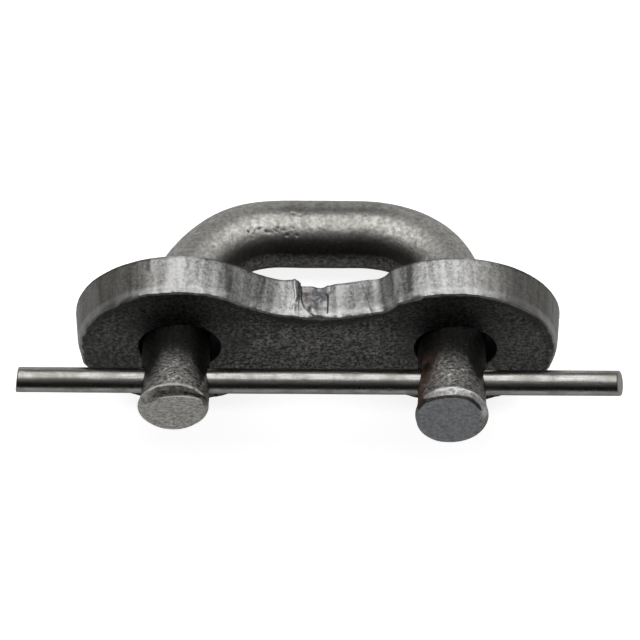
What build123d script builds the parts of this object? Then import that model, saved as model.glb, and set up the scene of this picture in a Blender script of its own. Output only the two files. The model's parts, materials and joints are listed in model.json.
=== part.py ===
"""Locking pin: a U-shaped round bar, a keeper plate on its two legs and a straight cross rod.

The bar's legs pass through the plate's two holes, and the rod goes through a cross hole near the end of
each leg and keeps the plate on. Sizes are in millimetres.

The pieces are laid out in the bar's own frame: x is across the legs and along the rod, y runs along the
legs from the cross holes towards the bow, and z is square to the U. That frame is then tilted to where
the pin comes to rest on a floor: on the bow and on the plate's two lobes, with the legs' ends in the air.
The origin is on the floor, under the middle of the whole.
"""

from build123d import *
from math import asin, atan, atan2, cos, hypot, radians, sin, sqrt, tan
import os

# U-shaped bar, hot bent from round stock
bar_diameter = 12.7
leg_spacing = 50.8
left_bend_radius = 23.0  # to the bar's centreline
right_bend_radius = 17.7
bow_reach = 38.0  # from the cross holes to the bow's centreline

# Ends of the legs: hammered a little thicker, with a bevel round a smaller end face
left_leg_reach = 7.05  # from the cross holes to the end face
right_leg_reach = 9.6
flare_length = 4.0
left_flare = 0.2  # on the radius
right_flare = 0.4
left_rim_shift = -0.4  # off the leg's axis, towards +x
left_bevel_width = 1.2
left_bevel_length = 0.4
left_face_drop = 1.0  # how far the end face lies off the leg's axis, away from +z
left_rim_slant = -5.0  # degrees; a positive slant turns the rim to face towards +z
right_bevel_width = 1.1
right_bevel_length = 1.25
right_face_drop = 0.2
right_rim_slant = 4.0

# Cross rod of drawn wire, sheared at both ends
rod_diameter = 4.76
rod_length = 112.0
rod_hole_clearance = 0.45  # on the diameter
rod_shift = 1.1  # how far the rod's middle lies from the legs' middle, towards +x
rod_left_shear = 6.0  # degrees that the end face leans to the front
rod_right_shear = 14.0  # degrees that the end face leans up
rod_end_bevel = 0.3

# Keeper plate, flame cut, with its edges drawn out towards the back face
plate_thickness = 7.6
plate_stand_off = 12.9  # from the cross holes to the middle of the plate, along the legs
hole_clearance = 2.4  # on the diameter, round the legs
side_play_taken = 0.56  # share of that clearance by which the plate has moved towards +x
lobe_wall = 10.35  # from a hole to the lobe's rim, on the front face
waist_width = 19.0  # on the front face
rim_melt_width = 0.9  # how much the front rim has melted back, across the plate and into its thickness
rim_melt_depth = 1.2
lobe_growth = 0.5  # how much the lobes still widen from there to the back face

# Gouge in the upper side of the waist, where the cutting torch started
gouge_back_radius = 2.7
gouge_back_depth = 1.9
gouge_front_radius = 1.3
gouge_front_depth = 0.4
gouge_back_shift = -1.0  # from the plate's middle
gouge_front_shift = 0.4

touch_gap = 0.03  # left between pieces that touch

bar_radius = bar_diameter / 2
rod_radius = rod_diameter / 2
half_spacing = leg_spacing / 2
cross_hole_radius = rod_radius + rod_hole_clearance / 2
hole_radius = bar_radius + hole_clearance / 2
lobe_radius = hole_radius + lobe_wall
melt_lobe_radius = lobe_radius + rim_melt_width
back_lobe_radius = melt_lobe_radius + lobe_growth
half_waist = waist_width / 2
melt_half_waist = half_waist + rim_melt_width
half_thickness = plate_thickness / 2
plate_shift = side_play_taken * hole_clearance / 2


def find_lean():
    """The angle at which the plate leans on the legs, touching them at both faces, in radians."""
    lean_angle = 0.0
    for _ in range(20):
        play = max(hole_radius - bar_radius / cos(lean_angle) - touch_gap, plate_shift)
        upright_play = sqrt(play**2 - plate_shift**2)
        lean_angle = atan(upright_play / half_thickness)
    return lean_angle


lean = find_lean()

# The pin rests on the lowest point of each lobe's back rim and on the underside of the bow
foot_y = plate_stand_off + half_thickness * cos(lean) + back_lobe_radius * sin(lean)
foot_z = half_thickness * sin(lean) - back_lobe_radius * cos(lean)
foot_to_bow = hypot(bow_reach - foot_y, foot_z)
rest_tilt = atan2(-foot_z, bow_reach - foot_y) - asin(bar_radius / foot_to_bow)
rest_height = bow_reach * sin(rest_tilt) + bar_radius

# The legs' ends are foremost and the bow is rearmost
longer_leg = max(left_leg_reach, right_leg_reach)
front_reach = longer_leg * cos(rest_tilt) + bar_radius * sin(rest_tilt)
back_reach = bow_reach * cos(rest_tilt) + bar_radius
bar_frame = Plane(
    origin=(0, (front_reach - back_reach) / 2, rest_height),
    x_dir=(1, 0, 0),
    z_dir=(0, sin(rest_tilt), cos(rest_tilt)),
)


def laid(position, normal, x_dir=(1, 0, 0)):
    """A plane given in the bar's frame, as it lies when the pin rests."""
    origin = bar_frame.from_local_coords(Vector(position))
    return Plane(
        origin=origin,
        x_dir=bar_frame.from_local_coords(Vector(position) + Vector(x_dir)) - origin,
        z_dir=bar_frame.from_local_coords(Vector(position) + Vector(normal)) - origin,
    )


left_x = -rod_shift - half_spacing
right_x = -rod_shift + half_spacing
left_shank_y = left_bevel_length + flare_length - left_leg_reach
right_shank_y = right_bevel_length + flare_length - right_leg_reach
left_rim = (left_x + left_rim_shift, bar_radius + left_flare, left_rim_slant)
right_rim = (right_x, bar_radius + right_flare, right_rim_slant)
left_bevel = (left_bevel_width, left_bevel_length, left_face_drop)
right_bevel = (right_bevel_width, right_bevel_length, right_face_drop)
leg_ends = (
    (left_x, left_shank_y, left_rim, left_bevel),
    (right_x, right_shank_y, right_rim, right_bevel),
)

with BuildPart() as u_bar:
    with BuildLine(bar_frame):
        left_centre = (left_x + left_bend_radius, bow_reach - left_bend_radius)
        right_centre = (right_x - right_bend_radius, bow_reach - right_bend_radius)
        Line((left_x, left_shank_y), (left_x, left_centre[1]))
        CenterArc(left_centre, left_bend_radius, start_angle=180, arc_size=-90)
        Line((left_centre[0], bow_reach), (right_centre[0], bow_reach))
        CenterArc(right_centre, right_bend_radius, start_angle=90, arc_size=-90)
        Line((right_x, right_centre[1]), (right_x, right_shank_y))
    with BuildSketch(laid((left_x, left_shank_y, 0), (0, 1, 0))):
        Circle(bar_radius)
    sweep()
    for leg_x, shank_y, rim, bevel in leg_ends:
        rim_x, rim_radius, rim_slant = rim
        bevel_width, bevel_length, face_drop = bevel
        rim_y = shank_y - flare_length
        rim_normal = (0, -cos(radians(rim_slant)), sin(radians(rim_slant)))
        with BuildSketch(laid((leg_x, shank_y, 0), (0, -1, 0))):
            Circle(bar_radius)
        with BuildSketch(laid((rim_x, rim_y, 0), rim_normal)):
            Circle(rim_radius)
        with BuildSketch(laid((rim_x, rim_y - bevel_length, -face_drop), (0, -1, 0))):
            Circle(rim_radius - bevel_width)
        loft(ruled=True)
    with BuildSketch(laid((-rod_shift, 0, 0), (1, 0, 0), x_dir=(0, 1, 0))):
        Circle(cross_hole_radius)
    extrude(amount=half_spacing + bar_diameter, both=True, mode=Mode.SUBTRACT)

# The rod lies on the floor side of its cross holes
rod_drop = rod_hole_clearance / 2 - touch_gap
rod_middle = (0, rod_drop * sin(rest_tilt), -rod_drop * cos(rest_tilt))
left_lean = radians(rod_left_shear)
right_lean = radians(rod_right_shear)

with BuildPart() as locking_rod:
    with BuildSketch(laid(rod_middle, (1, 0, 0), x_dir=(0, 1, 0))):
        Circle(rod_radius)
    extrude(amount=rod_length, both=True)
    rod_centre = locking_rod.part.center()
    split(
        bisect_by=Plane(
            origin=rod_centre - Vector(rod_length / 2 - rod_radius * tan(left_lean), 0, 0),
            z_dir=(-cos(left_lean), -sin(left_lean), 0),
        ),
        keep=Keep.BOTTOM,
    )
    split(
        bisect_by=Plane(
            origin=rod_centre + Vector(rod_length / 2 - rod_radius * tan(right_lean), 0, 0),
            z_dir=(cos(right_lean), 0, sin(right_lean)),
        ),
        keep=Keep.BOTTOM,
    )
    chamfer(locking_rod.edges().filter_by(GeomType.ELLIPSE), length=rod_end_bevel)


def plate_plane(depth):
    """A plane across the plate, at this depth behind its middle, with y up the plate."""
    return laid(
        (plate_shift - rod_shift, plate_stand_off + depth * cos(lean), depth * sin(lean)),
        (0, -cos(lean), -sin(lean)),
    )


front_face = plate_plane(-half_thickness)
melt_line = plate_plane(rim_melt_depth - half_thickness)
back_face = plate_plane(half_thickness)
plate_sections = (
    (front_face, lobe_radius, half_waist),
    (melt_line, melt_lobe_radius, melt_half_waist),
    (back_face, back_lobe_radius, melt_half_waist),
)

with BuildPart() as keeper_plate:
    for plane, lobe, neck in plate_sections:
        # Two round lobes, and on each side of the waist a hollow that runs smoothly into both
        hollow = (half_spacing**2 + neck**2 - lobe**2) / (2 * (lobe - neck))
        lobe_share = lobe / (lobe + hollow)
        join_x = half_spacing * (1 - lobe_share)
        join_y = (neck + hollow) * lobe_share
        with BuildSketch(plane):
            with BuildLine():
                ThreePointArc((-join_x, join_y), (0, neck), (join_x, join_y))
                ThreePointArc((join_x, join_y), (half_spacing + lobe, 0), (join_x, -join_y))
                ThreePointArc((join_x, -join_y), (0, -neck), (-join_x, -join_y))
                ThreePointArc((-join_x, -join_y), (-half_spacing - lobe, 0), (-join_x, join_y))
            make_face()
    loft(ruled=True)
    with BuildSketch(front_face):
        with Locations((-half_spacing, 0), (half_spacing, 0)):
            Circle(hole_radius)
    extrude(amount=-plate_thickness, mode=Mode.SUBTRACT)
    with BuildSketch(back_face):
        with Locations((gouge_back_shift, melt_half_waist + gouge_back_radius - gouge_back_depth)):
            Circle(gouge_back_radius)
    with BuildSketch(front_face):
        with Locations((gouge_front_shift, half_waist + gouge_front_radius - gouge_front_depth)):
            Circle(gouge_front_radius)
    loft(mode=Mode.SUBTRACT)

u_bar.part.label = "u_bar"
locking_rod.part.label = "locking_rod"
keeper_plate.part.label = "keeper_plate"

os.makedirs("parts", exist_ok=True)
export_step(u_bar.part, "parts/u_bar.step")
export_step(locking_rod.part, "parts/locking_rod.step")
export_step(keeper_plate.part, "parts/keeper_plate.step")
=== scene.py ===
import json
from contextlib import contextmanager
from math import cos, hypot, radians, sin, tan, tau

import bmesh
import bpy
import numpy as np
from mathutils import Matrix, Vector
from mathutils.geometry import delaunay_2d_cdt


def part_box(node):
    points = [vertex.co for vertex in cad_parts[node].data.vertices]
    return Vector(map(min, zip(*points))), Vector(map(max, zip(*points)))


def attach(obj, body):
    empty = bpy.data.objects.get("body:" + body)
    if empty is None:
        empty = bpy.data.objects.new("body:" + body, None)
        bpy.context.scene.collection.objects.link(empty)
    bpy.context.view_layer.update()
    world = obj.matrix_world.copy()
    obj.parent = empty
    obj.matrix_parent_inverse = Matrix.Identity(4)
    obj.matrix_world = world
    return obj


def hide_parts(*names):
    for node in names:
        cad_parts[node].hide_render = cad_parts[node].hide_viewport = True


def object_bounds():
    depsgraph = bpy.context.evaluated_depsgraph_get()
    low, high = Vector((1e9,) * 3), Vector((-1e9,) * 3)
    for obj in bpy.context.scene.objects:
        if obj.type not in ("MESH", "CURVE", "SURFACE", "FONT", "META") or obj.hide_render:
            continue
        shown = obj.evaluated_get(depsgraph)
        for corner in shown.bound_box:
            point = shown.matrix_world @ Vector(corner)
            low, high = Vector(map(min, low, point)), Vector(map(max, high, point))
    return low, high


# The looks of a locking pin: a U-shaped bar, a flame-cut keeper plate on its legs and a cross rod.
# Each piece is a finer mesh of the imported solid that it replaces. It is made in millimetres in its own
# frame, where x is across the legs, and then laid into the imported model's frame in metres.

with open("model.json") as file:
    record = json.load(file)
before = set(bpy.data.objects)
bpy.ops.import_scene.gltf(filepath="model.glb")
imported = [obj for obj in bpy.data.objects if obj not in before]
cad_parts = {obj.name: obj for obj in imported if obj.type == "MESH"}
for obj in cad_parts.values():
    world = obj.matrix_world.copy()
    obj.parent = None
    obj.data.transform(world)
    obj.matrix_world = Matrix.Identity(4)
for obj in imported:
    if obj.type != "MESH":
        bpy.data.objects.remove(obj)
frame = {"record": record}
cad_low, cad_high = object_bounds()
MM = 0.001

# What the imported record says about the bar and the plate
mounts = {mount["name"]: mount for mount in frame["record"]["mounts"]}
legs, bow, plate_back = mounts["legs"], mounts["bow"], mounts["plate_back"]
bar_radius = legs["dims"]["r_mm"]
half_spacing = legs["dims"]["spacing_x_mm"] / 2
leg_direction = Vector(legs["axis"])
bow_offset = (Vector(bow["pos_m"]) - Vector(legs["pos_m"])) / MM
bow_reach = -bow_offset.dot(leg_direction)
bow_start = bow_offset.x - bow["dims"]["length_mm"] / 2
bow_end = bow_offset.x + bow["dims"]["length_mm"] / 2

# Ends of the legs, the left one's value first, from the part's driving sizes. A face is round, but cut off
# along a flat arc above. A groove runs in the bevel outside that cut, and a painted shadow line beside it.
# The groove, the painted shadow line and the sheared look fade out to the left, between the two places in
# whole_left_of.
tip_sizes = {
    "side": (-1, 1),
    "rim_y": (-6.65, -8.35),
    "rim_x": (-0.4, 0.0),
    "rim_radius": (6.58, 6.78),
    "rim_slant": (radians(-5.0), radians(4.0)),
    "face_y": (-7.05, -9.6),
    "face_slant": (radians(-5.0), 0.0),
    "face_centre": ((-0.4, -0.5), (-0.5, -0.05)),
    "face_radius": (5.8, 6.05),
    "cut_top": (3.3, 5.5),
    "cut_x": (0.6, 0.0),
    "cut_radius": (10.0, 8.0),
    "groove": (0.62, 0.10),
    "groove_place": (0.24, 0.08),
    "groove_width": (0.17, 0.05),
    "step_shadow_place": (0.75, 0.20),
    "step_shadow_width": (0.30, 0.24),
    "whole_left_of": ((-5.8, -2.8), (-9.0, -8.0)),
}
left_tip, right_tip = ({name: pair[leg] for name, pair in tip_sizes.items()} for leg in (0, 1))
flare_length, flare_curve = 4.0, 1.7
groove_gap = 2.5

# Fields of rust pits on the bow: where each starts and ends along it, the degrees round it between which
# it lies, and how many pits it has
pit_fields = (
    (-16.5, -6.0, 42.0, 60.0, 22),
    (-8.0, -4.0, 78.0, 94.0, 4),
    (-14.0, 12.0, -25.0, 2.0, 12),
)

# The bends were made by hand: each swells out this far past a round arc, and leans towards the bow
left_swell, left_swell_lean = 1.2, 0.19
right_swell, right_swell_lean = 0.65, 0.0

# Keeper plate, from the part's driving sizes
plate_thickness = 7.6
hole_radius = bar_radius + 1.2
hole_mouth = 0.3
lobe_wall = 10.35
half_waist = 9.5
melt_width = 0.9
lip_start = 5.9
lobe_growth = 0.5
lobe_radius = hole_radius + lobe_wall

# The torch's gouge in the waist's upper edge, by places across the waist and depths from the back face
gouge_left, gouge_curl = -3.2, 3.1
gouge_right = 1.65
gouge_front = 6.3
gouge_sink = 1.1
bead_place, bead_end = -4.5, -3.5
groove_place = 7.5
burn_place, burn_depth = -2.1, 2.4
scorch_place, scorch_depth = 0.3, 2.5

# Streaks on the plate's upper cut edge: place across, width, strength (dark if negative) and reach in depth
edge_streaks = (
    (-31.1, 0.30, -1.4, 3.0),
    (-30.4, 0.35, 1.2, 3.0),
    (-26.5, 2.2, 0.4, 7.6),
    (-16.6, 0.9, -1.0, 7.6),
    (0.0, 10.0, 0.5, 7.6),
    (-9.8, 1.6, -0.5, 7.6),
    (-4.3, 0.30, 1.4, 7.6),
    (-3.4, 0.45, -1.2, 4.2),
    (4.2, 0.5, 0.8, 7.6),
    (9.5, 0.8, -0.7, 5.0),
    (14.2, 0.3, 1.2, 6.0),
    (16.6, 1.2, -1.0, 7.6),
    (22.5, 2.2, 0.4, 7.6),
)

# Cross rod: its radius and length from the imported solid, and its ends from the part's driving sizes
rod_low, rod_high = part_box("locking_rod")
rod_radius = (rod_high.z - rod_low.z) / 2 / MM
rod_half = (rod_high.x - rod_low.x) / 2 / MM
rod_bevel = 0.32
rod_left_shear = radians(6.0)
rod_right_shear = radians(14.0)
rod_clearance = 0.225

# Fineness of the meshes
bar_columns = 168
cutter_columns = 96
join_distance = 0.02
flat_distance = 0.002
bar_step = 0.27
face_rows = 24
bevel_rows = 14
flare_rows = 15
plate_step = 0.27
face_step = 0.30
hole_columns = 150
rod_columns = 72
rod_step = 0.5


# ---------- Shared tools


def noise(points, size, seed):
    """Smooth noise from -1 to 1, with lumps about this wide."""
    table = np.random.default_rng(seed).uniform(-1, 1, 1 << 16)
    cells = np.asarray(points, float) / size + 1000.0
    corner = np.floor(cells).astype(np.int64)
    part = cells - corner
    part = part * part * (3 - 2 * part)
    total = np.zeros(len(cells))
    for step in np.ndindex(2, 2, 2):
        lattice = (corner + step) * (73856093, 19349663, 83492791)
        key = (lattice[:, 0] ^ lattice[:, 1] ^ lattice[:, 2]) & 0xFFFF
        total += np.where(step, part, 1 - part).prod(axis=1) * table[key]
    return total


def rough(points, size, seed, layers=4):
    """Several noises on top of each other, each half as wide and as strong as the last."""
    total = np.zeros(len(points))
    for layer in range(layers):
        total += noise(points, size / 2**layer, seed + layer) / 2**layer
    return total / 1.6


def placed(x, y=0.0, z=0.0):
    """Points from their coordinates, each a list of values or one value for all."""
    return np.column_stack(np.broadcast_arrays(x, y, z))


def lumps(points, size, seed, layers=4):
    """The same noise, from 0 to 1."""
    return 0.5 + 0.5 * rough(points, size, seed, layers)


def bell(distance, width):
    """1 in the middle, falling to 0 about two widths away."""
    return np.exp(-((distance / width) ** 2))


def rise(value, start, end):
    """0 up to start, 1 from end, and smooth between them."""
    part = np.clip((value - start) / (end - start), 0, 1)
    return part * part * (3 - 2 * part)


def fall(value, start, end):
    """1 up to start, 0 from end, and smooth between them."""
    return 1 - rise(value, start, end)


def pits(points, centres, seed, radius, depth):
    """Depth of small round pits of many sizes round these centres."""
    chance = np.random.default_rng(seed)
    total = np.zeros(len(points))
    for centre in centres:
        size = radius * chance.uniform(0.5, 1.4)
        total += depth * chance.uniform(0.4, 1.0) * bell(np.linalg.norm(points - centre, axis=1), size)
    return total


def scatter(points, count, seed):
    """This many of the points, taken at random."""
    return points[np.random.default_rng(seed).integers(len(points), size=count)]


def ring_faces(rows, columns, first=0):
    """Four-sided faces between rows of points, where each row closes on itself."""
    row, column = np.meshgrid(np.arange(rows - 1), np.arange(columns), indexing="ij")
    here = first + row * columns + column
    beside = first + row * columns + (column + 1) % columns
    return np.stack([here, beside, beside + columns, here + columns], axis=-1).reshape(-1, 4).tolist()


def closed_tube(rows):
    """Points and faces of a tube of rows, with both ends closed by a fan to a middle point."""
    count, columns = rows.shape[:2]
    points = rows.reshape(-1, 3)
    last = len(points)
    faces = ring_faces(count, columns)
    faces += [[(i - 1) % columns, i, last] for i in range(columns)]
    top = last - columns
    faces += [[top + (i - 1) % columns, top + i, last + 1] for i in range(columns)]
    return np.concatenate([points, [points[:columns].mean(axis=0), points[top:].mean(axis=0)]]), faces


def grid_normals(rows):
    """Outward directions of a grid of rows that close on themselves."""
    along = np.gradient(rows, axis=0)
    across = np.roll(rows, -1, axis=1) - np.roll(rows, 1, axis=1)
    normals = np.cross(across, along)
    return normals / np.maximum(np.linalg.norm(normals, axis=2, keepdims=True), 1e-9)


class Place:
    """A piece's own frame: x across the legs, a given y direction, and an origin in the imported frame."""

    def __init__(self, origin, y_direction):
        x_axis = Vector((1, 0, 0))
        y_axis = Vector(y_direction).normalized()
        self.origin = np.array(origin)
        self.axes = np.array([x_axis, y_axis, x_axis.cross(y_axis)])

    def lay(self, points):
        return self.origin + MM * np.asarray(points) @ self.axes

    def read(self, mesh):
        """The mesh's points in this frame."""
        points = np.zeros(len(mesh.vertices) * 3)
        mesh.vertices.foreach_get("co", points)
        return (points.reshape(-1, 3) - self.origin) @ self.axes.T / MM


def store(mesh, **values):
    """Keeps named values for each point of the mesh, for its material to read."""
    for name, value in values.items():
        mesh.attributes.new(name, "FLOAT", "POINT").data.foreach_set("value", np.asarray(value, np.float32))


@contextmanager
def edited(mesh):
    """The mesh opened for editing, and written back afterwards."""
    solid = bmesh.new()
    solid.from_mesh(mesh)
    yield solid
    solid.to_mesh(mesh)
    solid.free()


def new_object(name, data):
    thing = bpy.data.objects.new(name, data)
    bpy.context.scene.collection.objects.link(thing)
    return thing


def make_piece(name, node, points, faces):
    """A mesh piece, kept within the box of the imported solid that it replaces."""
    low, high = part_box(node)
    mesh = bpy.data.meshes.new(name)
    mesh.from_pydata(np.clip(points, low, high).tolist(), [], faces)
    with edited(mesh) as solid:
        bmesh.ops.recalc_face_normals(solid, faces=solid.faces)
    return new_object(name, mesh)


def finish_piece(piece, node, body, material, sharp_angle):
    piece.data.shade_smooth()
    piece.data.set_sharp_from_angle(angle=radians(sharp_angle))
    piece.data.materials.clear()
    piece.data.materials.append(material)
    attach(piece, body)
    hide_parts(node)


# ---------- U-bar

bar_place = Place(legs["pos_m"], -leg_direction)
around = np.arange(bar_columns) / bar_columns * tau


def cut_height(tip, x):
    """Where a leg's end face is cut off above, at this distance across from the leg's axis."""
    return tip["cut_top"] - (x - tip["cut_x"]) ** 2 / (2 * tip["cut_radius"])


def face_edge(tip, across, up):
    """How far the face reaches from its centre each way, pulled in below the cut step by step."""
    centre_x, centre_z = tip["face_centre"]
    reach = np.full(len(across), tip["face_radius"])
    for _ in range(12):
        over = centre_z + reach * up - cut_height(tip, centre_x + reach * across)
        reach = np.where((over > 0) & (up > 0), reach - over / np.maximum(up, 0.3) * 0.8, reach)
    return reach


def slanted_ring(centre, reach, slant, across, up):
    """Points round a centre near the leg's axis, in a plane that leans by the slant."""
    x, y, z = centre
    return np.stack([x + reach * across, y + reach * up * tan(slant), z + reach * up], axis=1)


def tip_rows(tip):
    """Rows of points from the middle of a leg's end face out over its rim and back to the shank."""
    side = tip["side"]
    across, up = side * np.cos(around), np.sin(around)
    centre_x, centre_z = tip["face_centre"]
    middle = np.array([centre_x, tip["face_y"], centre_z])
    shank = slanted_ring((0, tip["rim_y"] + flare_length, 0), bar_radius, 0, across, up)
    rim = slanted_ring((tip["rim_x"], tip["rim_y"], 0), tip["rim_radius"], tip["rim_slant"], across, up)
    edge = slanted_ring(middle, face_edge(tip, across, up), tip["face_slant"], across, up)
    fade = np.minimum(1, np.linalg.norm(rim - edge, axis=1) / groove_gap) ** 2
    rows = [middle + (edge - middle) * share for share in np.linspace(0.03, 1, face_rows)]
    for share in np.linspace(0.05, 0.95, bevel_rows):
        row = edge + (rim - edge) * share
        groove = tip["groove"] * bell(share - tip["groove_place"], tip["groove_width"])
        row[:, 1] += groove * fade * rise(row[:, 0], *tip["whole_left_of"])
        rows.append(row)
    rows.append(rim)
    for share in np.linspace(0.04, 0.97, flare_rows):
        row = shank + (rim - shank) * (1 - share) ** flare_curve
        row[:, 1] = rim[:, 1] + (shank[:, 1] - rim[:, 1]) * share
        rows.append(row)
    rows = np.array(rows)
    rows[:, :, 0] += side * half_spacing
    return rows


def swell(share, side):
    """How far a bend swells out past a round arc, at a share of the way from the bow to the leg."""
    size, lean = (left_swell, left_swell_lean) if side < 0 else (right_swell, right_swell_lean)
    share = np.clip(share, 0, 1)
    return size * np.sin(tau / 2 * (share + lean * np.sin(tau / 2 * share))) ** 2


def shank_rows():
    """Rows of points round the bar from the left shank over the bow to the right shank."""
    left_bend, right_bend = bow_start + half_spacing, half_spacing - bow_end
    left_shank = left_tip["rim_y"] + flare_length
    right_shank = right_tip["rim_y"] + flare_length
    stretches = (
        ("line", (-half_spacing, left_shank), (-half_spacing, bow_reach - left_bend), tau / 2),
        ("bend", (bow_start, bow_reach - left_bend), left_bend, tau / 2),
        ("line", (bow_start, bow_reach), (bow_end, bow_reach), tau / 4),
        ("bend", (bow_end, bow_reach - right_bend), right_bend, tau / 4),
        ("line", (half_spacing, bow_reach - right_bend), (half_spacing, right_shank), 0),
    )
    rows = []
    for kind, start, end, heading in stretches:
        length = hypot(end[0] - start[0], end[1] - start[1]) if kind == "line" else end * tau / 4
        for share in np.arange(round(length / bar_step)) / round(length / bar_step):
            turned = heading - (share * tau / 4 if kind == "bend" else 0)
            outward = np.array([cos(turned), sin(turned), 0])
            if kind == "bend":
                side = np.sign(outward[0] or 1)
                from_bow = 1 - share if side < 0 else share
                centre = np.array([*start, 0]) + (end + swell(from_bow, side)) * outward
            else:
                centre = np.array([*start, 0]) + share * np.array([end[0] - start[0], end[1] - start[1], 0])
            spoke = np.outer(np.cos(around), outward) + np.outer(np.sin(around), (0, 0, 1))
            rows.append(centre + bar_radius * spoke)
    return np.array(rows)


def unroll(points):
    """Each point's place along the bar from the bow's middle, out from the bar's axis and above it."""
    middle, half_bow = (bow_start + bow_end) / 2, (bow_end - bow_start) / 2
    side = np.where(points[:, 0] < middle, -1, 1)
    bend = half_spacing - side * middle - half_bow
    past = side * (points[:, 0] - middle) - half_bow
    ahead = points[:, 1] - (bow_reach - bend)
    across, forward = np.maximum(past, 0), np.maximum(ahead, 0)
    turned = np.arctan2(across, forward)
    along = half_bow + bend * turned + np.minimum(past, 0) - np.minimum(ahead, 0)
    swollen = np.where(side < 0, swell(4 * turned / tau, -1), swell(4 * turned / tau, 1))
    return np.column_stack([side * along, np.hypot(across, forward) - bend - swollen, points[:, 2]])


def bar_pits(points, surface):
    """Depth of the rust pits in the bar: three fields of them on the bow, and small ones all over."""
    along, aside, above = unroll(surface).T
    turn = np.arctan2(above, -aside)
    depth = pits(points, scatter(surface, 110, 5), 6, 0.26, 0.10)
    for number, (start, end, low, high, count) in enumerate(pit_fields):
        in_turn = (turn > radians(low)) & (turn < radians(high))
        field = np.flatnonzero((along > start) & (along < end) & in_turn)
        chosen = field[np.argsort(along[field])][np.linspace(0, len(field) - 1, count).astype(int)]
        depth += pits(points, surface[chosen], 41 + number, 0.25, 0.12)
    return depth


def weather_bar(points, normals, on_end):
    """Dents, scale and pits of a hot-bent bar, all cut into the surface."""
    dents, scale = 0.10 * lumps(points, 9.0, 11, 2), 0.05 * lumps(points, 1.6, 21)
    fine = 0.03 * lumps(points, 0.5, 31, 2)
    depth = (dents + scale + fine + bar_pits(points, points)) * (1 - 0.6 * on_end)
    return points - normals * depth[:, None]


def bore(piece, radius):
    """Cuts the cross holes for the rod through both legs, and joins points that the cut leaves too close."""
    reach = (half_spacing + 2 * bar_radius) * MM
    mesh = bpy.data.meshes.new("cutter")
    sizes = {"radius1": radius * MM, "radius2": radius * MM, "depth": 2 * reach}
    with edited(mesh) as solid:
        bmesh.ops.create_cone(solid, cap_ends=True, segments=cutter_columns, **sizes)
    cutter = new_object("cutter", mesh)
    cutter.matrix_world = Matrix.Translation(legs["pos_m"]) @ Matrix.Rotation(tau / 4, 4, "Y")
    cut = piece.modifiers.new("bore", "BOOLEAN")
    cut.operation = "DIFFERENCE"
    cut.solver = "MANIFOLD"
    cut.object = cutter
    bpy.context.view_layer.update()
    holed = bpy.data.meshes.new_from_object(piece.evaluated_get(bpy.context.evaluated_depsgraph_get()))
    piece.modifiers.clear()
    piece.data = holed
    bpy.data.objects.remove(cutter)
    with edited(holed) as solid:
        bmesh.ops.remove_doubles(solid, verts=solid.verts, dist=join_distance * MM)
        bmesh.ops.dissolve_degenerate(solid, edges=solid.edges, dist=flat_distance * MM)


def make_bar(material):
    left = tip_rows(left_tip)
    rows = np.concatenate([left, shank_rows(), tip_rows(right_tip)[::-1]])
    end_rows = len(left) - flare_rows
    on_end = np.zeros(rows.shape[:2])
    on_end[:end_rows] = 1
    on_end[-end_rows:] = 1
    normals = grid_normals(rows)
    points = weather_bar(rows.reshape(-1, 3), normals.reshape(-1, 3), on_end.reshape(-1))
    points, faces = closed_tube(points.reshape(rows.shape))
    piece = make_piece("hot_bent_bar", "u_bar", bar_place.lay(points), faces)
    bore(piece, rod_radius + rod_clearance)
    paint_bar(piece.data, bar_place.read(piece.data), rows.reshape(-1, 3))
    finish_piece(piece, "u_bar", "bar", material, sharp_angle=42)


def paint_tip(tip, points, shares):
    """Adds one leg's end to the shares: how far each point is bare, sheared, a painted highlight on the ridge
    or a painted shadow line in the step.
    """
    left = tip is left_tip
    x, y, z = points[:, 0] - tip["side"] * half_spacing, points[:, 1], points[:, 2]
    centre_x, centre_z = tip["face_centre"]
    inside = np.minimum(tip["face_radius"] - np.hypot(x - centre_x, z - centre_z), cut_height(tip, x) - z)
    behind_rim = y - tip["rim_y"] - z * tan(tip["rim_slant"])
    from_rim = tip["rim_radius"] - np.hypot(x - tip["rim_x"], z)
    here = np.abs(x) < 2 * bar_radius
    on_end = here * fall(behind_rim, 0.10, 0.25)
    torn = rise(x, *tip["whole_left_of"]) * (rise(z, -1.5, 2.5) if left else 1)
    sheared = fall(inside, -0.12, 0.05) * torn
    bright = rise(z, -1.0, 2.0) * (not left)
    shares["left_face" if left else "right_face"] += on_end * (1 - sheared)
    shares["bright_shear"] += on_end * sheared * bright
    shares["brown_shear"] += on_end * sheared * (1 - bright)
    # Painted highlight: a bright ridge on the rim's top, and on the left end along the face's upper edge
    crest = lumps(points, 0.9, 55) * rise(z, 1.5, 5.0)
    shares["ridge_highlight"] += 1.7 * crest * here * bell(behind_rim, 0.38) * bell(from_rim, 0.45)
    shares["ridge_highlight"] += 0.6 * on_end * bell(inside, 0.14) * rise(z, 0.5, 2.5) * left
    # Painted shadow: a dark line in the step at the face's upper edge
    shares["step_shadow"] += on_end * bell(inside + tip["step_shadow_place"], tip["step_shadow_width"]) * rise(z, 1.0, 3.0) * torn


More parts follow.
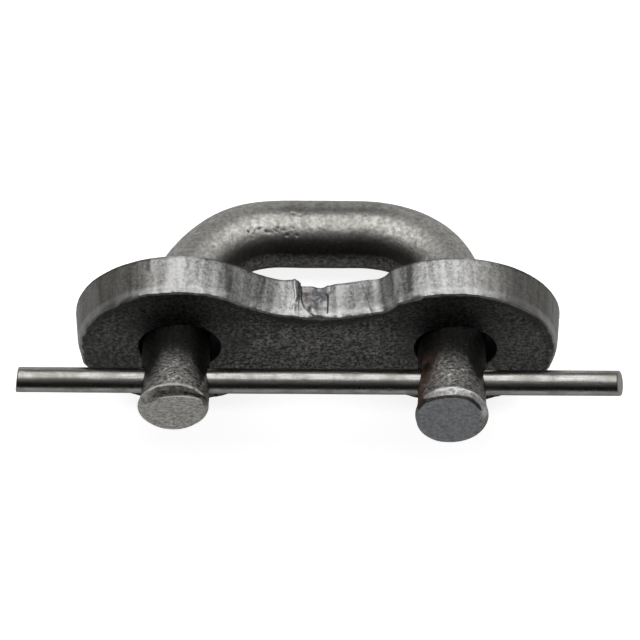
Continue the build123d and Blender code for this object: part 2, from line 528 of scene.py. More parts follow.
def paint_bar(mesh, points, surface):
    """Where the bar is bare, sheared or rusty, and where light and shade are painted on it, point by point.
    """
    names = ("left_face", "right_face", "brown_shear", "bright_shear", "ridge_highlight", "step_shadow")
    shares = {name: np.zeros(len(points)) for name in names}
    for tip in (left_tip, right_tip):
        paint_tip(tip, points, shares)
    store(mesh, **shares)
    x, y, _ = points.T
    along, aside, above = unroll(points).T
    turn = np.arctan2(above, -aside)
    on_leg = fall(y, 9.0, 15.0)
    on_bow = 1 - on_leg
    patch = bell(turn - 0.35, 0.6) * rise(y, -9.2, -8.2) * fall(y, 0.5, 5.5) * (x > 0)
    store(mesh, rust=np.clip(patch * rise(lumps(points, 1.4, 51), 0.20, 0.58) * 1.3, 0, 1))
    # Painted shade: the legs are darker on their sides and next to the plate
    flank_soot = rise(np.abs(aside), 2.2, 6.1) * on_leg * rise(y, -6.5, 0.0)
    root_soot = rise(y, -6.0, 4.0) * fall(y, 11.0, 16.0)
    store(mesh, soot=np.clip(flank_soot + root_soot, 0, 1))
    store(mesh, leg=on_leg, bend=rise(np.abs(along), 6.0, 16.0) * on_bow)
    # Painted shade: a band along the bow's unlit core
    store(mesh, core=rise(turn, 0.10, 0.22) * fall(turn, 0.45, 0.95) * on_bow)
    # The underside mask carries scabs that are partly real and partly painted shade
    store(mesh, underside=fall(turn, 0.05, 0.30) * on_bow)
    store(mesh, pit=bar_pits(points, surface), along=along, aside=aside, above=above)


# ---------- Keeper plate

plate_up = -Vector(plate_back["axis"]).cross(Vector((1, 0, 0)))
plate_place = Place(plate_back["pos_m"], plate_up)


def hollow_radius(lobe, neck):
    """Radius of the hollow that meets both lobes smoothly and leaves half the neck between."""
    return (half_spacing**2 + neck**2 - lobe**2) / (2 * (lobe - neck))


def edge_gap(x, y, lobe, neck):
    """How far inside the plate's outline each place is."""
    hollow = hollow_radius(lobe, neck)
    at_waist = np.hypot(x, np.abs(y) - neck - hollow) - hollow
    at_lobe = lobe - np.hypot(np.abs(x) - half_spacing, y)
    return np.where(np.abs(x) < half_spacing * hollow / (lobe + hollow), at_waist, at_lobe)


def outline(lobe, neck, spots):
    """Points of the plate's outline, two round lobes and a hollow on each side of the waist between them."""
    hollow = hollow_radius(lobe, neck)
    share = lobe / (lobe + hollow)
    join_x, join_y = half_spacing * (1 - share), (neck + hollow) * share
    hollow_turn = np.arcsin(join_x / hollow)
    lobe_turn = np.arctan2(join_y, join_x - half_spacing)
    arcs = (
        (0, neck + hollow, hollow, -tau / 4 - hollow_turn, -tau / 4 + hollow_turn),
        (half_spacing, 0, lobe, lobe_turn, -lobe_turn),
        (0, -neck - hollow, hollow, tau / 4 - hollow_turn, tau / 4 + hollow_turn),
        (-half_spacing, 0, lobe, lobe_turn - tau / 2, -lobe_turn - tau / 2),
    )
    points = []
    for arc, share in spots:
        centre_x, centre_y, radius, start, end = arcs[arc]
        turn = start + (end - start) * share
        points.append((centre_x + radius * cos(turn), centre_y + radius * sin(turn)))
    return np.array(points)


def outline_spots():
    """Where along the outline's four arcs the columns of the plate's edge stand, closest at the gouge."""
    spots = []
    for arc, length, fineness in ((0, 30.0, 2.2), (1, 90.0, 1.0), (2, 30.0, 1.0), (3, 90.0, 1.0)):
        count = round(length * fineness / plate_step)
        shares = np.arange(count) / count
        if fineness > 1:
            centred = 2 * shares - 1
            shares = (centred * (0.45 + 0.55 * centred**2) + 1) / 2
        spots += [(arc, share) for share in shares]
    return spots


def gouge_wall(depth):
    """Where the gouge's left wall stands at each depth: it curls to the right towards the front."""
    return gouge_left + gouge_curl * (depth / plate_thickness) ** 4


def gouge_hollow(x, depth):
    """The gouge itself: a step down between two walls, with drops of dross on its floor."""
    forward = depth / plate_thickness
    gentle = fall(depth, 1.2, 2.4)
    left_wall = gouge_wall(depth)
    inside = rise(x, left_wall, left_wall + 0.3) * fall(depth, gouge_front, gouge_front + 0.3)
    inside *= fall(x, gouge_right - 1.3 * gentle, gouge_right + 0.3 + 1.4 * gentle)
    start_pit = bell(x - 0.2, 0.9) * fall(depth, 0.6, 2.4)
    move = -inside * (gouge_sink - 0.35 * forward) - 0.45 * start_pit
    move += inside * 0.16 * noise(placed(x, depth), 1.1, 65)
    move += 0.55 * bell(np.hypot((x + 0.95) / 0.8, (depth - 5.2) / 1.7), 0.9)
    return move + 0.40 * bell(np.hypot((x - 0.1) / 1.2, (depth - 7.0) / 0.6), 0.9)


def gouge_bead(x, depth, back):
    """The bead of melted steel to the left of the gouge, with a thin sliver and a crack beside it."""
    bead = bell(x - bead_place, 1.3) * fall(x, bead_end - 0.2, bead_end + 0.2)
    from_sliver = x - bead_place - 0.05 - 0.35 * bell(depth - 3.4, 1.3)
    sliver = 0.26 * bell(from_sliver, 0.30) - 0.12 * bell(from_sliver + 0.5, 0.2)
    sliver *= (1 - bell(depth - 4.7, 0.5)) * fall(depth, 5.4, 7.0)
    return bead * (0.1 + 0.7 * back) + sliver


def gouge(x, depth):
    """How far the torch's start has moved the waist's upper edge, at places across it and into it.

    depth runs from 0 at the back face to the plate's thickness at the front face."""
    forward = depth / plate_thickness
    back = fall(forward, 0.1, 0.95)
    move = gouge_hollow(x, depth) + gouge_bead(x, depth, back)
    move -= 0.4 * back * rise(x, 1.6, 2.2) * fall(x, 9.0, 14.0)
    move -= 0.65 * (1 - back) * bell(x - 12.2, 2.7) + 0.95 * back * bell(x - 11.0, 1.9)
    groove = 0.12 + 0.12 * noise(placed(0 * x, depth), 1.6, 66)
    return move - groove * bell(x - groove_place - 2.1 * forward, 0.22)


def hole_profile():
    """Depths and growths of a hole's wall, with rounded mouths."""
    turns = np.linspace(0, tau / 4, 4)
    mouth = [(hole_mouth * (1 - cos(turn)), hole_mouth * (1 - sin(turn))) for turn in turns]
    wall = [(depth, 0.0) for depth in np.linspace(hole_mouth, plate_thickness - hole_mouth, 18)[1:-1]]
    return mouth + wall + [(plate_thickness - depth, growth) for depth, growth in mouth[::-1]]


def edge_rows(spots, run):
    """Rows of points over the plate's cut edge, from the back face over the melted lip to the front face."""
    front = outline(lobe_radius, half_waist, spots)
    melt = outline(lobe_radius + melt_width, half_waist + melt_width, spots)
    back = outline(lobe_radius + melt_width + lobe_growth, half_waist + melt_width, spots)
    tangent = np.roll(melt, -1, axis=0) - np.roll(melt, 1, axis=0)
    outward = np.stack([-tangent[:, 1], tangent[:, 0]], axis=1)
    outward /= np.linalg.norm(outward, axis=1, keepdims=True)
    upper = np.array([arc == 0 for arc, _ in spots])
    along = placed(run)
    lip_wave = 0.18 * rough(along, 3.2, 61, 3) + 0.10 * rough(along, 1.3, 64, 2)
    burr = 0.52 * rough(along, 1.6, 67, 3) * lumps(along, 11.0, 69, 2)
    rows = []
    for depth in [*np.linspace(0, lip_start, 28), *np.linspace(lip_start, plate_thickness, 15)[1:]]:
        share = max(0, (depth - lip_start) / (plate_thickness - lip_start))
        deep = np.full(len(run), depth)
        row = back + (melt - back) * depth / plate_thickness
        row += (front - melt) * (0.36 * share**2 + 0.5 * rise(share, 0.86, 1.0))
        drag_lines, scratches = placed(run, deep / 6), placed(run, deep)
        relief = 0.035 * rough(drag_lines, 1.3, 71, 2) + 0.07 * rough(drag_lines, 5.0, 81, 2)
        relief += 0.03 * rough(scratches, 0.7, 91, 2)
        relief += lip_wave * rise(depth, lip_start - 0.5, plate_thickness) - 0.08
        relief += burr * rise(depth, plate_thickness - 0.8, plate_thickness)
        relief += np.where(upper, gouge(row[:, 0], deep), 0)
        rows.append(np.column_stack([row + outward * relief[:, None], deep]))
    return np.array(rows)


def make_plate(material):
    spots = outline_spots()
    columns = len(spots)
    melt = outline(lobe_radius + melt_width, half_waist + melt_width, spots)
    steps = np.linalg.norm(np.diff(melt, axis=0, append=melt[:1]), axis=1)
    run = np.cumsum(steps) - steps
    edge = edge_rows(spots, run)
    points = [edge.reshape(-1, 3)]
    faces = ring_faces(len(edge), columns)
    total = len(edge) * columns
    back_loops = [range(columns)]
    front_loops = [range(total - columns, total)]
    turn = np.arange(hole_columns) / hole_columns * tau
    for hole_x in (-half_spacing, half_spacing):
        rows = []
        for depth, growth in hole_profile():
            radius = hole_radius + growth
            x, y = hole_x + radius * np.cos(turn), radius * np.sin(turn)
            rows.append(placed(x, y, depth))
        faces += ring_faces(len(rows), hole_columns, total)
        back_loops.append(range(total, total + hole_columns))
        total += len(rows) * hole_columns
        front_loops.append(range(total - hole_columns, total))
        points.append(np.concatenate(rows))
    back_face = (back_loops, 0.0, 1, 1.5 * face_step)
    front_face = (front_loops, plate_thickness, -1, face_step)
    for loops, depth, inward, step in (back_face, front_face):
        inner, cells = fill_face(np.concatenate(points), loops, step, total)
        points.append(np.column_stack([inner, depth + inward * face_relief(inner, inward)]))
        faces += cells
        total += len(inner)
    piece = make_piece("flame_cut_plate", "keeper_plate", plate_place.lay(np.concatenate(points)), faces)
    paint_plate(piece.data, plate_place.read(piece.data), len(edge), run)
    finish_piece(piece, "keeper_plate", "plate", material, sharp_angle=40)


def spread_points(rim, step):
    """Points about one step apart inside the outer loop and clear of it and of the holes."""
    low, high = rim.min(axis=0), rim.max(axis=0)
    inner = []
    for number, y in enumerate(np.arange(low[1], high[1], step * 0.87)):
        x = np.arange(low[0] + (number % 2) * step / 2, high[0], step)
        inner.append(np.column_stack([x, np.full(len(x), y)]))
    inner = np.concatenate(inner)
    inner += np.random.default_rng(len(inner)).uniform(-0.12, 0.12, inner.shape) * step
    clear = inside_loop(inner, rim) & (loop_gap(inner, rim) > 0.45 * step)
    return inner[clear & outside_holes(inner, hole_mouth + 0.5 * step)]


def fill_face(known, loops, step, total):
    """Inner points and triangles of a flat face between its outer loop and its holes."""
    boundary = np.concatenate([np.array(loop) for loop in loops])
    edges = []
    for loop in loops:
        first = len(edges)
        edges += [(first + i, first + (i + 1) % len(loop)) for i in range(len(loop))]
    rim, *holes = [known[np.array(loop)][:, :2] for loop in loops]
    inner = spread_points(rim, step)
    flat = [Vector(point) for point in np.concatenate([known[boundary][:, :2], inner])]
    found, _, cells, origins, _, _ = delaunay_2d_cdt(flat, edges, [], 1, 1e-7)
    centres = np.array([np.mean([found[i] for i in cell], axis=0) for cell in cells])
    good = inside_loop(centres, rim)
    for hole in holes:
        good &= ~inside_loop(centres, hole)
    number = [origins[i][0] for i in range(len(found))]
    number = [int(boundary[i]) if i < len(boundary) else total + i - len(boundary) for i in number]
    return inner, [[number[i] for i in cell] for cell, kept in zip(cells, good) if kept]


def outside_holes(points, margin):
    """Which points are at least this far outside both holes' walls."""
    clear = np.ones(len(points), bool)
    for hole_x in (-half_spacing, half_spacing):
        clear &= np.hypot(points[:, 0] - hole_x, points[:, 1]) > hole_radius + margin
    return clear


def inside_loop(points, loop):
    """Which points lie inside a closed loop."""
    result = np.zeros(len(points), bool)
    for (x0, y0), (x1, y1) in zip(loop, np.roll(loop, -1, axis=0)):
        if y0 == y1:
            continue
        crosses = np.flatnonzero((points[:, 1] > min(y0, y1)) & (points[:, 1] <= max(y0, y1)))
        meet = x0 + (points[crosses, 1] - y0) * (x1 - x0) / (y1 - y0)
        result[crosses[points[crosses, 0] < meet]] ^= True
    return result


def loop_gap(points, loop):
    """How far each point is from the nearest corner of a loop."""
    gaps = np.full(len(points), np.inf)
    for start in range(0, len(loop), 200):
        part = loop[start : start + 200]
        gap = np.hypot(points[:, None, 0] - part[None, :, 0], points[:, None, 1] - part[None, :, 1])
        gaps = np.minimum(gaps, gap.min(axis=1))
    return gaps


def face_relief(inner, inward):
    """How deep a flat face's inner points lie: rolled scale with shallow pits."""
    flat = placed(*inner.T)
    sunk = 0.05 * lumps(flat, 3.0, 102 + inward, 3) + 0.05 * lumps(flat, 0.8, 111, 2)
    return sunk + pits(flat, scatter(flat, 130, 121 + inward), 122, 0.36, 0.18)


def paint_plate(mesh, points, edge_row_count, run):
    """Where the plate is cut, melted, streaked or burnt, and where shade is painted on it, point by point."""
    on_edge = edge_row_count * len(run)
    x, y, depth = points.T
    edge, runs, streak = np.zeros(len(points)), np.zeros(len(points)), np.zeros(len(points))
    edge[:on_edge] = fall(depth[:on_edge], plate_thickness - 0.10, plate_thickness - 0.02)
    runs[:on_edge] = np.tile(run, edge_row_count)
    streak[:on_edge] = 0.5 * rough(placed(runs), 2.6, 131)[:on_edge]
    for place, width, strength, reach in edge_streaks:
        streak += (y > 0) * strength * bell(x - place, width) * fall(depth, reach - 1, reach + 0.5)
    waist = (y > 0) & (y < 14)
    scorch = bell(np.hypot((x - scorch_place) / 1.7, (depth - scorch_depth) / 2.1), 1.0)
    burn = bell(np.hypot((x - burn_place) / 0.9, (depth - burn_depth) / 2.4), 1.0)
    # Painted shade along the gouge's two walls
    wall = bell(x - gouge_wall(depth) - 0.1, 0.25) * (depth < 7.2)
    wall += bell(x - gouge_right - 0.2, 0.14) * rise(depth, 2.0, 2.6) * fall(depth, 6.2, 6.5)
    back_line = 0.9 * edge * bell(depth, 0.32) * rise(lumps(points, 2.5, 141), 0.15, 0.50)
    near_hole = np.minimum(np.hypot(x + half_spacing, y), np.hypot(x - half_spacing, y)) - hole_radius
    near_lip = edge_gap(x, y, lobe_radius, half_waist) + 0.5 * rough(points, 2.0, 151, 2)
    under_lip = 0.75 * fall(near_lip, 0.6, 3.0) * (y > 0)
    round_hole = 0.60 * fall(near_hole - 0.5 * y, 0.0, 8.0)
    store(mesh, cut_edge=edge, run=runs, depth=depth, streak=streak, hole=near_hole < 0.12)
    store(mesh, lip=edge * rise(depth, lip_start - 0.3, lip_start + 0.6))
    store(mesh, scorch=waist * scorch, burn=waist * burn)
    # Painted shade on the gouge's walls, with dark spots along the back edge
    store(mesh, soot=np.clip(np.maximum(waist * wall, back_line), 0, 1))
    # Painted shade: darker towards the plate's ends, under the lip and round the holes
    store(mesh, flank=rise(np.abs(x), 21.0, 41.0), shade=np.maximum(under_lip, round_hole))


# ---------- Cross rod

rod_place = Place((rod_low + rod_high) / 2, (0, 1, 0))


def make_rod(material):
    turn = np.arange(rod_columns) / rod_columns * tau
    front, up = np.cos(turn), np.sin(turn)
    left_fall, right_fall = rod_radius * tan(rod_left_shear), rod_radius * tan(rod_right_shear)
    stations = [(0.0, share * (1 - rod_bevel / rod_radius)) for share in np.linspace(0.04, 0.9, 8)]
    for corner in np.linspace(0, tau / 4, 4):
        stations.append((rod_bevel * (1 - cos(corner)), 1 - rod_bevel / rod_radius * (1 - sin(corner))))

    def row(x, share):
        return placed(x, rod_radius * share * front, rod_radius * share * up)

    rows = [row(-rod_half + left_fall * (1 + share * front) + inset, share) for inset, share in stations]
    count = round(2 * rod_half / rod_step)
    left_end = -rod_half + left_fall * (1 + front) + rod_bevel
    right_end = rod_half - right_fall * (1 + up) - rod_bevel
    rows += [row(left_end + (right_end - left_end) * number / count, 1) for number in range(1, count)]
    rows += [row(rod_half - right_fall * (1 + share * up) - inset, share) for inset, share in stations[::-1]]
    rows = np.array(rows)
    points = rows.reshape(-1, 3)
    depth = 0.02 * lumps(points * (0.12, 1, 1), 1.1, 141, 3) + 0.03 * lumps(points, 6.0, 151, 2)
    depth += pits(points, scatter(points, 70, 161), 162, 0.25, 0.07)
    points = points - grid_normals(rows).reshape(-1, 3) * depth[:, None]
    points, faces = closed_tube(points.reshape(rows.shape))
    piece = make_piece("drawn_rod", "locking_rod", rod_place.lay(points), faces)
    on_end = np.zeros(len(points))
    end_points = (len(stations) - 2) * rod_columns
    on_end[:end_points] = 1
    on_end[-end_points - 2 :] = 1
    store(piece.data, end_face=on_end)
    finish_piece(piece, "locking_rod", "rod", material, sharp_angle=35)


# ---------- Materials


def add(tree, kind, settings=None, **inputs):
    """A node with its settings, and its inputs set to values or linked to other nodes' outputs."""
    node = tree.nodes.new("ShaderNode" + kind)
    for name, value in (settings or {}).items():
        setattr(node, name, value)
    set_inputs(tree, node, **inputs)
    return node


def set_inputs(tree, node, **inputs):
    for name, value in inputs.items():
        fit(tree, node.inputs[name.replace("_", " ")], value)


def fit(tree, socket, value):
    """Links a socket to another node's output or to what the mesh stores by a name, or sets it to a value."""
    if isinstance(value, str):
        value = add(tree, "Attribute", {"attribute_name": value}).outputs["Fac"]
    if isinstance(value, bpy.types.NodeSocket):
        tree.links.new(value, socket)
    elif socket.type == "RGBA":
        socket.default_value = (*value, 1)
    else:
        socket.default_value = value


def mix(tree, share, first, second):
    """A colour this share of the way from the first to the second."""
    node = add(tree, "Mix", {"data_type": "RGBA"})
    for number, value in ((0, share), (6, first), (7, second)):
        fit(tree, node.inputs[number], value)
    return node.outputs[2]


def blend(tree, share, first, second):
    """A value this share of the way from the first to the second."""
    node = add(tree, "Mix", {"data_type": "FLOAT"})
    for number, value in ((0, share), (2, first), (3, second)):
        fit(tree, node.inputs[number], value)
    return node.outputs[0]


def spread(tree, value, start, end, low=0, high=1):
    """The value's stretch from start to end, laid over the stretch from low to high."""
    node = add(tree, "MapRange", Value=value, From_Min=start, From_Max=end, To_Min=low, To_Max=high)
    return node.outputs[0]


def sums(tree, operation, first, second):
    node = add(tree, "Math", {"operation": operation})
    fit(tree, node.inputs[0], first)
    fit(tree, node.inputs[1], second)
    return node.outputs[0]


def plus(tree, first, second):
    return sums(tree, "ADD", first, second)


def times(tree, first, second):
    return sums(tree, "MULTIPLY", first, second)


def larger(tree, first, second):
    return sums(tree, "MAXIMUM", first, second)


def joined(tree, **axes):
    """A vector from these values for its axes."""
    return add(tree, "CombineXYZ", **axes).outputs[0]


def spot_gap(tree, place, size):
    """How far each place is from the middle of a spot, where spots stand about this far apart."""
    return add(tree, "TexVoronoi", Vector=place, Scale=1 / size).outputs["Distance"]


def grain(tree, place, size, detail=4.0, roughness=0.6):
    """Noise from 0 to 1 with lumps about this many millimetres wide."""
    node = add(tree, "TexNoise", Vector=place, Scale=1 / size, Detail=detail, Roughness=roughness)
    return node.outputs["Fac"]


def scaled(tree, vector, factors):
    """Places stretched by these factors."""
    return add(tree, "Mapping", Vector=vector, Scale=factors).outputs[0]


def start_material(name):
    """A material with its node tree, shader and place in millimetres."""
    material = bpy.data.materials.new(name)
    material.use_nodes = True
    tree = material.node_tree
    corner = add(tree, "TexCoord").outputs["Object"]
    return material, tree, tree.nodes["Principled BSDF"], scaled(tree, corner, (1 / MM, 1 / MM, 1 / MM))


def bump(tree, height, distance, strength, below=None):
    node = add(tree, "Bump", Height=height, Distance=distance * MM, Strength=strength)
    if below is not None:
        tree.links.new(below, node.inputs["Normal"])
    return node.outputs[0]


# Colours of the bar, each a dark and a pale one where the steel is mottled
bow_colours = (0.152, 0.147, 0.131), (0.296, 0.291, 0.278)
leg_colours = (0.035, 0.033, 0.029), (0.50, 0.49, 0.465)
# The bend colours are paler as painted light
painted_light_bend_colours = (0.225, 0.219, 0.202), (0.40, 0.394, 0.376)
left_face_colours = (0.27, 0.257, 0.237), (0.67, 0.66, 0.63)
right_face_colours = (0.195, 0.20, 0.21), (0.365, 0.375, 0.39)
brown_shear_colours = (0.055, 0.047, 0.038), (0.26, 0.24, 0.21)
bright_shear_colours = (0.33, 0.33, 0.325), (0.67, 0.67, 0.67)
rust_colours = (0.026, 0.011, 0.007), (0.135, 0.060, 0.036)
# The glint and ridge colours are painted highlights
glint_colour, ridge_highlight_colour = (0.88, 0.87, 0.85), (0.92, 0.91, 0.88)
# The core colour is painted shade
pit_colour, core_colour = (0.02, 0.019, 0.016), (0.03, 0.026, 0.02)
# Painted shade: the second colour darkens the legs' sides and roots; the first is partly real scabs and
# partly painted shade
scab_and_shade_colour, soot_colour = (0.03, 0.028, 0.024), (0.013, 0.013, 0.012)


def bar_scale_colour(tree, tone, dashes):
    """Mill scale: dull on the bow, painted lighter on the bends as painted light, and dark with painted
    bright glints on the legs.
    """
    dark = mix(tree, "bend", mix(tree, "leg", bow_colours[0], leg_colours[0]), painted_light_bend_colours[0])
    pale = mix(tree, "leg", bow_colours[1], leg_colours[1])
    pale = mix(tree, times(tree, "bend", 0.9), pale, painted_light_bend_colours[1])
    colour = mix(tree, spread(tree, tone, 0.38, 0.62), dark, pale)
    return mix(tree, times(tree, spread(tree, dashes, 0.59, 0.66), "leg"), colour, glint_colour)


def bar_dirt_and_shade_colour(tree, colour, pitted, scabs):
    """Darkens the pits, the underside in scabby patches that are partly real and partly painted shade, and
    paints shade on the unlit core of the bow and on the legs' sides and roots.
    """
    colour = mix(tree, times(tree, pitted, 0.9), colour, pit_colour)
    # Partly real scabs and partly painted shade: the bow's underside is darkened in patches
    under = times(tree, "underside", spread(tree, scabs, 0.38, 0.60, 0.95, 0.1))
    colour = mix(tree, under, colour, scab_and_shade_colour)
    # Painted shade on the bow's unlit core
    colour = mix(tree, times(tree, "core", 0.72), colour, core_colour)
    # Painted shade on the legs' sides and next to the plate
    return mix(tree, times(tree, "soot", 0.95), colour, soot_colour)


def bar_end_colour(tree, colour, place, speckle):
    """Bare ends: one brushed, one dull, their sheared cuts brown or bright, a painted highlight on the ridge,
    a painted shadow line in the step, and the rusty patch.
    """
    mottle = grain(tree, place, 0.75, 6.0, 0.7)
    brushed = grain(tree, scaled(tree, place, (0.5, 1.0, 1.0)), 0.38, 5.0, 0.7)
    warm = mix(tree, spread(tree, brushed, 0.38, 0.62), *left_face_colours)
    cool = mix(tree, spread(tree, mottle, 0.35, 0.65), *right_face_colours)
    brown = mix(tree, spread(tree, mottle, 0.38, 0.62), *brown_shear_colours)
    bright = mix(tree, spread(tree, speckle, 0.35, 0.65), *bright_shear_colours)
    layers = (("left_face", warm), ("right_face", cool), ("brown_shear", brown), ("bright_shear", bright))
    for name, layer in layers:
        colour = mix(tree, name, colour, layer)
    # Painted highlight on the ridge
    colour = mix(tree, spread(tree, "ridge_highlight", 0.2, 0.7), colour, ridge_highlight_colour)
    # Painted shadow line in the step
    colour = mix(tree, spread(tree, "step_shadow", 0.2, 0.7, 0, 0.95), colour, scab_and_shade_colour)
    return mix(tree, "rust", colour, mix(tree, speckle, *rust_colours))


def bar_material():
    """Hot-rolled bar: dull mill scale, painted light on the bends and painted shade below and on the legs,
    bare sheared ends and a rusty patch.
    """
    material, tree, shader, place = start_material("hot_rolled_bar")
    unrolled = joined(tree, X="along", Y="aside", Z="above")
    dashes = grain(tree, scaled(tree, unrolled, (1.0, 0.55, 0.55)), 0.42, 5.0, 0.7)
    bands = grain(tree, scaled(tree, unrolled, (1.0, 0.16, 0.16)), 1.1, 4.0, 0.6)
    scabs = grain(tree, unrolled, 0.9, 5.0, 0.7)
    speckle = grain(tree, place, 0.8, 5.0, 0.6)
    cloud = grain(tree, place, 5.0, 4.0, 0.55)
    fine = grain(tree, place, 0.16, 3.0, 0.6)
    scale = blend(tree, blend(tree, "bend", 0.35, 0.12), speckle, bands)
    tone = blend(tree, times(tree, "leg", 0.9), scale, dashes)
    in_patch = spread(tree, grain(tree, place, 7.0, 2.0, 0.5), 0.48, 0.58)
    spotted = times(tree, spread(tree, spot_gap(tree, place, 1.3), 0.06, 0.15, 1, 0), in_patch)
    pitted = larger(tree, spotted, spread(tree, "pit", 0.03, 0.08))
    colour = bar_scale_colour(tree, tone, dashes)
    colour = bar_dirt_and_shade_colour(tree, colour, pitted, scabs)
    colour = bar_end_colour(tree, colour, place, speckle)
    on_face = plus(tree, "left_face", "right_face")
    dull = plus(tree, spread(tree, tone, 0.35, 0.65, 0.38, 0.27), spread(tree, on_face, 0, 1, 0, 0.14))
    dull = plus(tree, dull, spread(tree, plus(tree, "rust", pitted), 0, 1, 0, 0.3))
    dull = plus(tree, dull, times(tree, "bend", 0.10))
    relief = bump(tree, cloud, 0.10, 0.5)
    relief = bump(tree, sums(tree, "SUBTRACT", tone, times(tree, pitted, 0.9)), 0.07, 0.8, relief)
    rougher = blend(tree, "leg", times(tree, scabs, "underside"), dashes)
    relief = bump(tree, fine, 0.02, 0.5, bump(tree, rougher, 0.20, 1.0, relief))
    metal = spread(tree, "rust", 0, 1, 0.95, 0.3)
    set_inputs(tree, shader, Base_Color=colour, Metallic=metal, Roughness=dull, Normal=relief)
    return material


# Colours of the plate
plate_scale_colours = (0.014, 0.0137, 0.013), (0.30, 0.295, 0.28)
plate_cloud_colour, shade_colour = (0.045, 0.044, 0.042), (0.016, 0.016, 0.015)
# The hole colour is painted shade
hole_shade_colour = (0.02, 0.02, 0.019)
cut_colours = (0.085, 0.084, 0.083), (0.41, 0.408, 0.40)
# The end-shade colour is painted shade with an olive-brown tint
speck_colour, flank_colour, lip_colour = (0.035, 0.034, 0.032), (0.07, 0.067, 0.055), (0.50, 0.495, 0.48)
# The last colour is painted shade on the gouge's walls and dark spots along the back edge
burn_colour, scorch_colour, wall_shade_and_spot_colour = (0.052, 0.040, 0.028), (0.030, 0.030, 0.052), (0.03, 0.029, 0.025)


def plate_face_colour(tree, place, speckle):
    """Dark speckled scale, with painted shade round the holes, under the lip and towards the plate's ends."""
    scale = mix(tree, spread(tree, speckle, 0.44, 0.60), *plate_scale_colours)
    cloud = grain(tree, place, 5.0, 4.0, 0.6)
    scale = mix(tree, spread(tree, cloud, 0.40, 0.70, 0, 0.5), scale, plate_cloud_colour)
    # Painted shade round the holes, under the lip and towards the plate's ends
    shaded = larger(tree, "shade", times(tree, "flank", 0.5))
    scale = mix(tree, shaded, scale, shade_colour)
    # Painted shade: the hole walls are painted near-black
    return mix(tree, "hole", scale, hole_shade_colour)


def plate_edge_colour(tree, place, streaks):
    """Pale streaky metal, with dark specks, a paler lip, the gouge's burnt and blued places, painted shade on
    the gouge's walls and dark spots along the back edge.
    """
    dots = grain(tree, place, 0.6, 5.0, 0.8)
    tone = plus(tree, times(tree, streaks, 0.4), times(tree, dots, 0.6))
    tone = plus(tree, tone, spread(tree, "streak", -1.0, 1.0, -0.16, 0.16))
    cut = mix(tree, spread(tree, tone, 0.38, 0.62), *cut_colours)
    near_back = spread(tree, "depth", 0.5, 4.5, 0.85, 0.1)
    specks = times(tree, spread(tree, spot_gap(tree, place, 1.1), 0.08, 0.20, 1, 0), near_back)
    cut = mix(tree, specks, cut, speck_colour)
    # Painted shade towards the plate's ends, with an olive-brown tint
    cut = mix(tree, times(tree, "flank", 0.7), cut, flank_colour)
    cut = mix(tree, times(tree, "lip", 0.3), cut, lip_colour)
    cracks = spread(tree, dots, 0.42, 0.60, 1.0, 0.5)
    cut = mix(tree, times(tree, "burn", cracks), cut, burn_colour)
    cut = mix(tree, times(tree, "scorch", cracks), cut, scorch_colour)
    # Painted shade on the gouge's walls, and dark spots along the back edge
    return mix(tree, "soot", cut, wall_shade_and_spot_colour)


def plate_material():
    """Hot-rolled plate: dark scale on its faces and pale streaky metal on its flame-cut edges."""
    material, tree, shader, place = start_material("flame_cut_plate")
    speckle = grain(tree, place, 0.65, 6.0, 0.75)
    fine = grain(tree, place, 0.2, 4.0, 0.65)
    on_cut = joined(tree, X="run", Y=times(tree, "depth", 0.13))
    streaks = grain(tree, on_cut, 1.4, 3.0, 0.5)
    face_colour = plate_face_colour(tree, place, speckle)
    colour = mix(tree, "cut_edge", face_colour, plate_edge_colour(tree, place, streaks))
    metal = times(tree, spread(tree, "cut_edge", 0, 1, 0.75, 0.92), spread(tree, "hole", 0, 1, 1, 0.1))
    dull = spread(tree, speckle, 0.3, 0.7, 0.08, -0.08)
    dull = plus(tree, spread(tree, "cut_edge", 0, 1, 0.48, 0.42), dull)
    relief = bump(tree, speckle, 0.10, 0.8, bump(tree, streaks, 0.05, 0.35))
    relief = bump(tree, fine, 0.03, 0.6, relief)
    set_inputs(tree, shader, Base_Color=colour, Metallic=metal, Roughness=dull, Normal=relief)
    set_inputs(tree, shader, Specular_IOR_Level=spread(tree, "hole", 0, 1, 0.5, 0.1))
    return material


# Colours of the rod
wire_colours = (0.19, 0.187, 0.18), (0.37, 0.366, 0.355)
dull_wire_colour, wire_end_colour = (0.17, 0.158, 0.135), (0.26, 0.24, 0.22)


def rod_material():
    """Drawn wire: fairly bright, with fine lines along it and faint dull patches."""
    material, tree, shader, place = start_material("drawn_wire")
    lines = grain(tree, scaled(tree, place, (0.06, 1.0, 1.0)), 0.28, 4.0, 0.6)
    cloud = grain(tree, place, 3.0, 4.0, 0.6)
    fine = grain(tree, place, 0.25, 3.0, 0.6)
    colour = mix(tree, spread(tree, lines, 0.3, 0.7), *wire_colours)
    colour = mix(tree, spread(tree, cloud, 0.44, 0.64, 0, 0.7), colour, dull_wire_colour)
    colour = mix(tree, "end_face", colour, wire_end_colour)
    dull = plus(tree, spread(tree, cloud, 0.3, 0.7, 0.22, 0.34), spread(tree, "end_face", 0, 1, 0, 0.2))
    relief = bump(tree, fine, 0.012, 0.4, bump(tree, lines, 0.02, 0.4))
    set_inputs(tree, shader, Base_Color=colour, Metallic=1.0, Roughness=dull, Normal=relief)
    return material


# ---------- Stage, light and camera


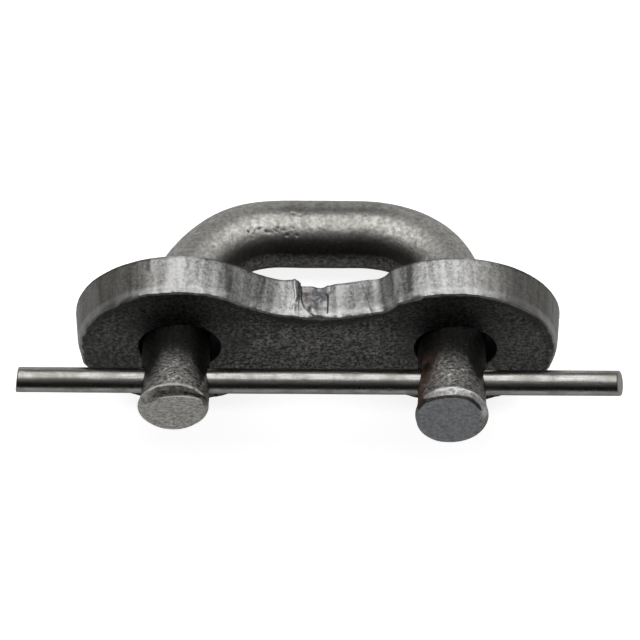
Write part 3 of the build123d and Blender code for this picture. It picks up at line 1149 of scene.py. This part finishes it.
floor_half, floor_gap = 3.0, 0.05
floor_colour, floor_glow = (0.55, 0.55, 0.55), 0.86
floor_mirrored, floor_open_reach = 0.39, 0.12
brightest_way, sky_falloff = (0, 0.53, 0.85), 2.5
room_dark, room_bright = 0.015, 0.70
lamp_elevation, lamp_distance = radians(58), 0.80
lamp_width, lamp_depth, lamp_power = 1.40, 0.80, 6.9
camera_elevation, camera_roll = radians(77.06), radians(0.37)
camera_distance, camera_drop = 3.0, 0.00055
view_width, sensor_width = 0.11808, 36.0


def make_floor():
    """A pale floor that shows as white where it is lit, and keeps the object's shadow."""
    mesh = bpy.data.meshes.new("floor")
    half, level = floor_half, cad_low.z - floor_gap * MM
    corners = [(half * x, half * y, level) for x, y in ((-1, -1), (1, -1), (1, 1), (-1, 1))]
    mesh.from_pydata(corners, [], [(0, 1, 2, 3)])
    floor = new_object("floor", mesh)
    material = bpy.data.materials.new("pale_floor")
    material.use_nodes = True
    tree = material.node_tree
    tree.nodes.remove(tree.nodes["Principled BSDF"])
    ray = add(tree, "LightPath").outputs
    openness = add(tree, "AmbientOcclusion", {"samples": 6}, Distance=floor_open_reach)
    open_sky = sums(tree, "POWER", openness.outputs["AO"], 6.0)
    mirrored = times(tree, ray["Is Glossy Ray"], open_sky)
    seen = larger(tree, ray["Is Camera Ray"], times(tree, mirrored, floor_mirrored))
    seen = larger(tree, seen, ray["Is Transmission Ray"])
    paper = add(tree, "BsdfDiffuse", Color=floor_colour)
    strength = spread(tree, seen, 0, 1, 0, floor_glow)
    glow = add(tree, "Emission", Color=(1, 1, 1), Strength=strength)
    both = add(tree, "AddShader")
    tree.links.new(paper.outputs[0], both.inputs[0])
    tree.links.new(glow.outputs[0], both.inputs[1])
    tree.links.new(both.outputs[0], tree.nodes["Material Output"].inputs["Surface"])
    mesh.materials.append(material)


def make_world():
    """A dim room that is bright only above and a little behind."""
    world = bpy.data.worlds.new("studio")
    world.use_nodes = True
    bpy.context.scene.world = world
    tree = world.node_tree
    tree.nodes.clear()
    direction = add(tree, "TexCoord").outputs["Generated"]
    towards = add(tree, "VectorMath", {"operation": "DOT_PRODUCT"})
    fit(tree, towards.inputs[0], direction)
    fit(tree, towards.inputs[1], brightest_way)
    level = sums(tree, "POWER", larger(tree, towards.outputs["Value"], 0.0), sky_falloff)
    strength = spread(tree, level, 0, 1, room_dark, room_bright)
    room = add(tree, "Background", Color=(1, 1, 1), Strength=strength)
    out = add(tree, "OutputWorld")
    tree.links.new(room.outputs[0], out.inputs["Surface"])


def make_softbox(aim):
    """One wide soft light above and behind the object."""
    lamp = bpy.data.lights.new("softbox", "AREA")
    lamp.shape = "RECTANGLE"
    lamp.size, lamp.size_y = lamp_width, lamp_depth
    lamp.energy = lamp_power
    holder = new_object("softbox", lamp)
    away = Vector((0, cos(lamp_elevation), sin(lamp_elevation)))
    holder.location = aim + away * lamp_distance
    holder.rotation_euler = away.to_track_quat("Z", "Y").to_euler()


def make_camera(middle):
    """A long lens that looks down on the pin from the front, turned a hair so the rod dips to the right."""
    right = Vector((1, 0, 0))
    up = Vector((0, sin(camera_elevation), cos(camera_elevation)))
    back = Vector((0, -cos(camera_elevation), sin(camera_elevation)))
    lens = bpy.data.cameras.new("camera")
    lens.sensor_width = sensor_width
    lens.lens = sensor_width * camera_distance / view_width
    lens.clip_start, lens.clip_end = 0.05, 20
    camera = new_object("camera", lens)
    turned_right = right * cos(camera_roll) + up * sin(camera_roll)
    turned_up = up * cos(camera_roll) - right * sin(camera_roll)
    turned = Matrix((turned_right, turned_up, back)).transposed().to_4x4()
    camera.matrix_world = Matrix.Translation(middle - up * camera_drop + back * camera_distance) @ turned
    bpy.context.scene.camera = camera


middle = (cad_low + cad_high) / 2
make_camera(middle)
make_floor()
make_world()
make_softbox(middle)
bpy.context.scene.view_settings.view_transform = "Standard"

make_bar(bar_material())
make_plate(plate_material())
make_rod(rod_material())
